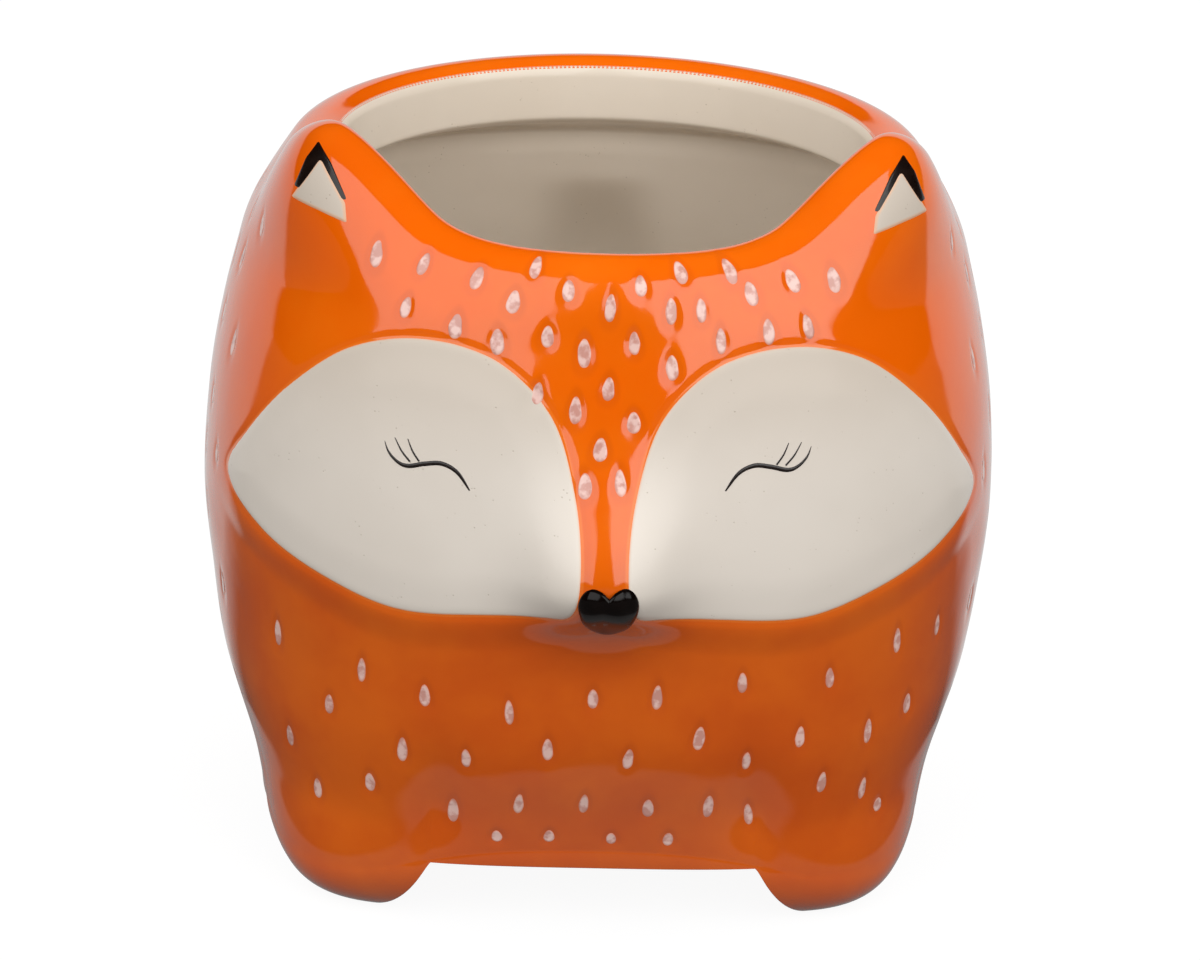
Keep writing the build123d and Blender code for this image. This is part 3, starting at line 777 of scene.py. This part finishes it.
def enamel_material(name, tone, cloud, roughness, coat=0.4, specular=0.5):
    material, n = new_material(name)
    tone = n.tint(tone, n.ramp(n.noise(500, 2.0), 0.35, 0.7), 0.5, cloud)
    glaze(n, tone, n.bump(n.noise(900, 2.0), 0.12, 0.0001), roughness, coat, specular)
    return material


def fleck_material():
    """Pinkish white, with the orange showing through toward a fleck's edge."""
    material, n = new_material("fleck_enamel")
    tone = n.mix(n.ramp(n.attribute("rim_gap"), 0.0, 0.4), FLECK_EDGE, FLECK_MIDDLE)
    tone = n.tint(tone, n.ramp(n.noise(620, 3.0), 0.42, 0.6), 0.7, FLECK_CLOUD)
    glaze(n, tone, n.bump(n.noise(1100, 2.0), 0.2, 0.0001), roughness=0.16, coat=0.5)
    return material


orange = orange_material()
cream = cream_material("cream_glaze", CREAM, CREAM_CLOUD, True)
cream_inside = cream_material("cream_lining", INSIDE, INSIDE_CLOUD, False, roughness=0.16, coat=0.3)
black = enamel_material("black_enamel", BLACK, BLACK_CLOUD, 0.25)
nose_black = enamel_material("black_nose_glaze", NOSE_BLACK, NOSE_CLOUD, 0.14, coat=0.0, specular=0.28)
enamel = fleck_material()

finish_piece(body, orange, ["clay_body"])
finish_piece(underside_cap, orange, [])

# ---- cheeks
FIELD_HEIGHT = raised(-0.10, 0.17, 0.02)
for side, curve in (("right", cheek_right), ("left", cheek_left)):
    middle = (curve[:, 0].mean(), CHEEK_MIDDLE)
    cheek = draped(f"{side}_cheek_field", curve, CHEEK_RINGS, FIELD_HEIGHT, centre=middle)
    finish_piece(cheek, cream, [f"{side}_cheek"])

# ---- ears
PATCH = spot([(0.696, 1.033), (0.752, 0.987), (0.766, 0.974), (0.7, 0.969), (0.629, 0.961), (0.634, 0.985)])
EDGING = spot(
    [
        (0.703, 1.052), (0.735, 1.028), (0.765, 0.988), (0.74, 0.985),
        (0.65, 0.985), (0.625, 0.988), (0.668, 1.03),
    ]
)
EDGING_HEIGHT, PATCH_HEIGHT = raised(-0.1, 0.16, 0.12), raised(0.0, 0.14, 0.12)
EAR_POINTS, EAR_RINGS = 160, 14
for side, sign in (("right", 1), ("left", -1)):
    line = rounded_polygon(EDGING, EAR_POINTS) * (sign, 1)
    edging = draped(f"{side}_ear_line", line, EAR_RINGS, EDGING_HEIGHT)
    finish_piece(edging, black, [f"{side}_ear_edging"])
    line = rounded_polygon(PATCH, EAR_POINTS) * (sign, 1)
    patch = draped(f"{side}_ear_field", line, EAR_RINGS, PATCH_HEIGHT)
    finish_piece(patch, cream, [f"{side}_ear_patch"])

# ---- tail tip: an arc over the tail's end, and a zigzag edge below
TIP_HALF, TIP_TOP, TIP_DROP, TIP_LOW, TOOTH = 9.6, 100, 20, 80.0, 6.0
TIP_POWER, TIP_CORNERS, TIP_POINTS, TIP_RINGS, TIP_MIDDLE = 0.8, 0.12, 240, 40, (0, 87)
ZIGZAG = [(0.55, -1), (0.25, 0), (0, -1.4), (-0.25, 0), (-0.55, -1)]
tip_line = []
for turn in np.linspace(0, 1, 40) * pi:
    tip_line.append((-TIP_HALF * cos(turn), TIP_TOP - TIP_DROP * (1 - sin(turn) ** TIP_POWER)))
tip_line += [(TIP_HALF * a, TIP_LOW + TOOTH * d) for a, d in ZIGZAG]
tip_line = rounded_polygon(tip_line, TIP_POINTS, TIP_CORNERS)
tip = draped("tail_tip_field", tip_line, TIP_RINGS, FIELD_HEIGHT, sign=1, centre=TIP_MIDDLE)
finish_piece(tip, cream, ["tail_tip"])

# ---- eye lines: round strokes laid on the cheeks
STROKE_LENGTHS, STROKE_SIDES = 60, 9
STROKE_LIFT, STROKE_DOME, FULL_DOME_WIDTH = 0.02, 0.16, 0.5


def stroke(points, widths, sign):
    """Vertices and faces of a tapered, domed stroke on the face. Points of the front view."""
    p = np.asarray(points, float) * (sign, 1)
    n = len(p)
    s = np.linspace(0, n - 1, STROKE_LENGTHS)
    i = np.clip(s.astype(int), 0, n - 2)
    line = through(p[np.maximum(i - 1, 0)], p[i], p[i + 1], p[np.minimum(i + 2, n - 1)], (s - i)[:, None])
    w = np.interp(s, np.arange(n), widths)
    way = np.gradient(line, axis=0)
    way /= np.linalg.norm(way, axis=1, keepdims=True)
    cross = np.stack([-way[:, 1], way[:, 0]], axis=1)
    verts, quads = [], []
    for k in range(STROKE_LENGTHS):
        for j in range(STROKE_SIDES):
            u = -1 + 2 * j / (STROKE_SIDES - 1)
            x, z = line[k] + cross[k] * u * w[k] / 2
            hit, normal = cast_front(x, z)
            dome = STROKE_DOME * (1 - u * u) ** 0.5 * min(1, w[k] / FULL_DOME_WIDTH)
            verts.append(hit + normal * (STROKE_LIFT + dome))
    for k in range(STROKE_LENGTHS - 1):
        for j in range(STROKE_SIDES - 1):
            q = k * STROKE_SIDES + j
            quads.append((q, q + 1, q + STROKE_SIDES + 1, q + STROKE_SIDES))
    return verts, quads


def strokes(name, lines, sign, nodes):
    """One piece of black enamel from several strokes."""
    verts, quads = [], []
    for points, widths in lines:
        v, q = stroke(points, widths, sign)
        quads += [tuple(k + len(verts) for k in face) for face in q]
        verts += v
    item = new_mesh(name, verts, quads)
    align_faces(item.data, to_front=True)
    finish_piece(item, black, nodes)


LID = spot(
    [
        (0.508, 0.703), (0.497, 0.688), (0.475, 0.677), (0.45, 0.674),
        (0.41, 0.680), (0.37, 0.683), (0.333, 0.674), (0.303, 0.652),
    ]
)
LID_WIDTHS = [0.12, 0.42, 0.62, 0.82, 0.85, 0.85, 0.72, 0.3]
LASHES = [
    spot([(0.483, 0.708), (0.466, 0.692), (0.446, 0.680)]),
    spot([(0.452, 0.709), (0.440, 0.694), (0.424, 0.682)]),
]
LASH_WIDTHS = [0.2, 0.36, 0.4]
# the hand-laid eyes sit a little to one side, the right one a little higher
for side, sign, shift in (("right", 1, (-1.3, 1.0)), ("left", -1, (1.3, 0.0))):
    strokes(f"{side}_lid_stroke", [(LID + shift, LID_WIDTHS)], sign, [f"{side}_lid_line"])
    lashes = [(lash + shift, LASH_WIDTHS) for lash in LASHES]
    strokes(f"{side}_lash_strokes", lashes, sign, [f"{side}_lashes"])

# ---- nose: a heart that stands a little to one side, domed and with a rounded edge
NOSE_TOP, NOSE_ASIDE, NOSE_LENGTH, NOSE_MIDDLE = 68.6, 0.8, 10.6, 5.0
NOSE_DOME, NOSE_DOME_X, NOSE_DOME_Z = 1.5, 5.7, 6.2
NOSE_SUNK, NOSE_EDGE, NOSE_EDGE_STEEP = -0.35, 0.45, 5
NOSE_POINTS, NOSE_RINGS = 200, 40
HALF_HEART = [
    (0.0, -1.35), (0.35, -1.05), (1.2, -0.35), (2.5, 0.0), (3.9, -0.5),
    (4.8, -2.1), (4.95, -4.3), (4.2, -7.0), (2.5, -9.5),
]
heart = [(NOSE_ASIDE + x, NOSE_TOP + z) for x, z in HALF_HEART] + [(NOSE_ASIDE, NOSE_TOP - NOSE_LENGTH)]
heart += [(NOSE_ASIDE - x, NOSE_TOP + z) for x, z in HALF_HEART[:0:-1]]


def nose_edge(share):
    """Height of the nose's rounded edge."""
    return NOSE_SUNK + NOSE_EDGE * (1 - (1 - min(1, share * NOSE_EDGE_STEEP)) ** 2) ** 0.5


def nose_dome(x, z):
    """Height of the nose over the muzzle, by its place in an ellipse."""
    far = ((x - NOSE_ASIDE) / NOSE_DOME_X) ** 2 + ((z - NOSE_TOP + NOSE_MIDDLE) / NOSE_DOME_Z) ** 2
    return NOSE_DOME * max(0.0, 1 - far) ** 0.75


nose_centre = (NOSE_ASIDE, NOSE_TOP - NOSE_MIDDLE)
nose = draped("nose_button", closed_curve(heart, NOSE_POINTS), NOSE_RINGS, nose_edge, centre=nose_centre)
for vertex in nose.data.vertices:
    vertex.co.y -= nose_dome(vertex.co.x / MM, vertex.co.z / MM) * MM
finish_piece(nose, nose_black, ["nose"])

# ---- lining, with a cup in each leg
LINING_START, LIP_ROWS = 142, 10
BAND_ROWS, UNDERCUT_ROWS, INSIDE_ROWS, CORNER_ROWS, FLOOR_ROWS, FLOOR_END = 13, 23, 69, 19, 59, 0.01
CUP_X, CUP_Y, CUP_REACH = 38.5, 35.36, 5.5
CUP_INNER, CUP_OUTER, CUP_LOW, CUP_RISE, CUP_UNDER = 3.6, 6.4, 5.0, 2.5, 34


def hollow_radius(height):
    """Radius of the inside, which follows the outside but not all of the tail."""
    return wall_radius(INNER_TURNS, height) - TAIL_FILL * tail(INNER_TURNS, height) - WALL


def lining_rows():
    """Rings of the lining, from the rim down to the middle of the floor."""
    neck = RIM_RADIUS - RIM_ROUND
    top = NECK_HEIGHT - UNDERCUT
    result = []
    for turn in np.linspace(LINING_START, 180, LIP_ROWS):
        result.append(place(*rim_spot(INNER_TURNS, turn), INNER_TURNS))
    radius, height = rim_spot(INNER_TURNS, 180)
    for share in steps(0, 1, BAND_ROWS):
        r = radius + (neck - radius) * share
        result.append(place(r, height + (NECK_HEIGHT - height) * share, INNER_TURNS))
    belly = hollow_radius(top)
    for share in steps(0, 1, UNDERCUT_ROWS):
        r = neck + (belly - neck) * (1 - cos(pi * share)) / 2
        result.append(place(r, NECK_HEIGHT + (top - NECK_HEIGHT) * share, INNER_TURNS))
    corner_top = FLOOR + FLOOR_CORNER
    for h in steps(top, corner_top, INSIDE_ROWS):
        result.append(place(hollow_radius(h), h, INNER_TURNS))
    for turn in np.radians(steps(0, 90, CORNER_ROWS)):
        h = corner_top - FLOOR_CORNER * sin(turn)
        result.append(place(hollow_radius(h) - FLOOR_CORNER * (1 - cos(turn)), h, INNER_TURNS))
    last = result[-1]
    for share in steps(1, FLOOR_END, FLOOR_ROWS):
        ring = last.copy()
        ring[:, :2] *= share
        result.append(ring)
    return np.array(result)


inner = lining_rows()
flat_inner = inner.reshape(-1, 3)
for cx in (-CUP_X, CUP_X):
    for cy in (-CUP_Y, CUP_Y):
        gap = np.hypot(flat_inner[:, 0] - cx, flat_inner[:, 1] - cy)
        dip = 1 - smooth(CUP_INNER, CUP_OUTER, gap)
        deep = flat_inner[:, 2] < CUP_UNDER
        bottom = CUP_LOW + CUP_RISE * (np.clip(gap, 0, CUP_REACH) / CUP_REACH) ** 2
        flat_inner[:, 2] += np.where(deep, dip * (bottom - flat_inner[:, 2]), 0)
lining = new_mesh("cream_lining_inside", flat_inner, grid_faces(*inner.shape[:2])[:, ::-1])
finish_piece(lining, cream_inside, ["lining", "leg_cups"])
last_ring = flat_inner[-inner.shape[1]:]
ring_index = np.arange(len(last_ring))
floor_fan = np.stack([ring_index, np.roll(ring_index, -1), np.full(len(last_ring), len(last_ring))], 1)
lining_cap = new_mesh("lining_floor_middle", np.vstack([last_ring, [[0, 0, last_ring[0, 2]]]]), floor_fan)
finish_piece(lining_cap, cream_inside, [])

# ---- flecks
FLECK_POINTS, FLECK_RINGS = 28, 7
FLECK_HEIGHT = raised(-0.06, 0.15, 0.3)
EDGE_WOBBLE = 0.05


def fleck_ring(drop, halves, share, wobble):
    """Points of one ring of a fleck: a drop's outline, made smaller by a share, on the outside."""
    middle, long_way, out = drop
    side = np.cross(long_way, out)
    half_long, half_wide = halves
    points = []
    for k in range(FLECK_POINTS):
        t = 2 * pi * k / FLECK_POINTS
        along = -cos(t) * half_long * share
        edge = 1 + wobble[0] * sin(2 * t) + wobble[1] * cos(3 * t) + wobble[2] * sin(5 * t)
        across = sin(t) * half_wide * drop_taper(along, half_long) * share * edge
        origin = middle + long_way * along + side * across
        points.append(cast_down(origin, out) + out * FLECK_HEIGHT(1 - share))
    return points


index = 0
for node, group in fleck_groups.items():
    verts, polygons, gaps = [], [], []
    for _ in group:
        drop, halves = all_drops[index], drop_halves[index]
        wobble = rng.uniform(-EDGE_WOBBLE, EDGE_WOBBLE, 4)
        polygons += field_faces(FLECK_RINGS, FLECK_POINTS, len(verts))
        for ring in range(FLECK_RINGS):
            share = 1 - ring / FLECK_RINGS
            verts += fleck_ring(drop, halves, share, wobble)
            gaps += [(1 - share) * halves[1]] * FLECK_POINTS
        verts.append(cast_down(drop[0], drop[2]) + drop[2] * FLECK_HEIGHT(1))
        gaps.append(halves[1])
        index += 1
    item = field_mesh(node + "_enamel", verts, polygons, gaps)
    finish_piece(item, enamel, [node])

# ---- floor and backdrop: white to the camera. The pot mirrors only a part of them, behind it
# and close round its feet, because the room in front of it is dark.
FLOOR_TONE, FLOOR_GLOW, FLOOR_HALF = 0.09, 0.93, 6
# the light from all round grows from low to high over this range of the direction's height
AMBIENT_LOW, AMBIENT_HIGH, AMBIENT_RANGE = 0.5, 0.98, (-0.1, 0.8)
NEAR_FLOOR, NEAR_FLOOR_EDGE, NEAR_FLOOR_SHARE = 0.084, 0.003, 0.24
MIRRORED_SHARE, MIRROR_SPREAD, FLOOR_FADE, SKY_FADE, SKY_LEAN = 0.6, 0.36, 0.03, 0.06, 1.2
corners = [(-FLOOR_HALF, -FLOOR_HALF, 0), (FLOOR_HALF, -FLOOR_HALF, 0)]
corners += [(FLOOR_HALF, FLOOR_HALF, 0), (-FLOOR_HALF, FLOOR_HALF, 0)]
floor_mesh = bpy.data.meshes.new("floor")
floor_mesh.from_pydata(corners, [], [(0, 1, 2, 3)])
floor = add_object("floor", floor_mesh)

paper, n = new_material("floor_paper")
n.tree.nodes.clear()
where = n.axes(n.spot())
behind = n.math("MULTIPLY_ADD", n.math("ABSOLUTE", where["X"]), -MIRROR_SPREAD, where["Y"])
behind = n.line(behind, 0.0, FLOOR_FADE, 0.0, MIRRORED_SHARE)
distance = n.add("ShaderNodeVectorMath")
distance.operation = "LENGTH"
n.put(distance, 0, n.spot())
near = n.line(distance.outputs["Value"], NEAR_FLOOR, NEAR_FLOOR - NEAR_FLOOR_EDGE, 0.0, NEAR_FLOOR_SHARE)
seen = n.background(n.math("MAXIMUM", behind, near))
glow = n.add("ShaderNodeEmission", Strength=n.math("MULTIPLY", seen, FLOOR_GLOW))
diffuse = n.add("ShaderNodeBsdfDiffuse", Color=(FLOOR_TONE, FLOOR_TONE, FLOOR_TONE, 1))
both = n.add("ShaderNodeAddShader")
n.put(both, 0, diffuse.outputs[0])
n.put(both, 1, glow.outputs[0])
n.add("ShaderNodeOutputMaterial", Surface=both.outputs[0])
floor_mesh.materials.append(paper)

world = bpy.data.worlds.new("studio")
bpy.context.scene.world = world
world.use_nodes = True
n = Nodes(world.node_tree)
direction = n.axes(n.add("ShaderNodeTexCoord").outputs["Generated"])
leaned = n.math("SUBTRACT", direction["Y"], n.math("MULTIPLY", direction["Z"], SKY_LEAN))
behind = n.line(leaned, MIRROR_SPREAD, MIRROR_SPREAD + SKY_FADE, 0.0, MIRRORED_SHARE)
ambient = n.line(direction["Z"], *AMBIENT_RANGE, AMBIENT_LOW, AMBIENT_HIGH)
fill = n.math("MULTIPLY", n.add("ShaderNodeLightPath").outputs["Is Diffuse Ray"], ambient)
sky = n.tree.nodes["Background"]
n.put(sky, "Color", (1, 1, 1, 1))
n.put(sky, "Strength", n.math("MAXIMUM", n.background(behind), fill))

# ---- two softboxes, left and right of the camera
BOX_WIDTH, BOX_HEIGHT, BOX_DISTANCE, BOX_ELEVATION = 0.93, 0.84, 1.0, 27
LIT_POINT = Vector((0, 0, 0.09))


def from_point(point, azimuth, elevation, distance):
    """A place at a distance from a point, azimuth from the front and elevation in degrees."""
    a, e = radians(azimuth), radians(elevation)
    return point + distance * Vector((cos(e) * sin(a), -cos(e) * cos(a), sin(e)))


def facing(place_of, point):
    """The rotation of a lamp or camera that looks at a point."""
    return (point - place_of).to_track_quat("-Z", "Y")


for name, azimuth, power in (("softbox_left", -38, 3.7), ("softbox_right", 38, 4.7)):
    lamp = bpy.data.lights.new(name, "AREA")
    lamp.shape = "RECTANGLE"
    lamp.size, lamp.size_y = BOX_WIDTH, BOX_HEIGHT
    lamp.energy = power
    box = add_object(name, lamp)
    box.location = from_point(LIT_POINT, azimuth, BOX_ELEVATION, BOX_DISTANCE)
    box.rotation_euler = facing(box.location, LIT_POINT).to_euler()

# ---- camera
CAMERA_LENS, SENSOR_WIDTH = 157.0, 36.0
CAMERA_TARGET, CAMERA_DISTANCE = Vector((0.0005, 0, 0.0613)), 0.900
CAMERA_ELEVATION, CAMERA_AZIMUTH, CAMERA_ROLL = 20.0, -1.4, 1.7
camera = bpy.data.cameras.new("camera")
camera.lens = CAMERA_LENS
camera.sensor_width = SENSOR_WIDTH
view = add_object("camera", camera)
view.location = from_point(CAMERA_TARGET, CAMERA_AZIMUTH, CAMERA_ELEVATION, CAMERA_DISTANCE)
view.rotation_mode = "QUATERNION"
roll = Quaternion((0, 0, 1), radians(CAMERA_ROLL))
view.rotation_quaternion = facing(view.location, CAMERA_TARGET) @ roll
bpy.context.scene.camera = view
bpy.context.scene.view_settings.view_transform = "Standard"
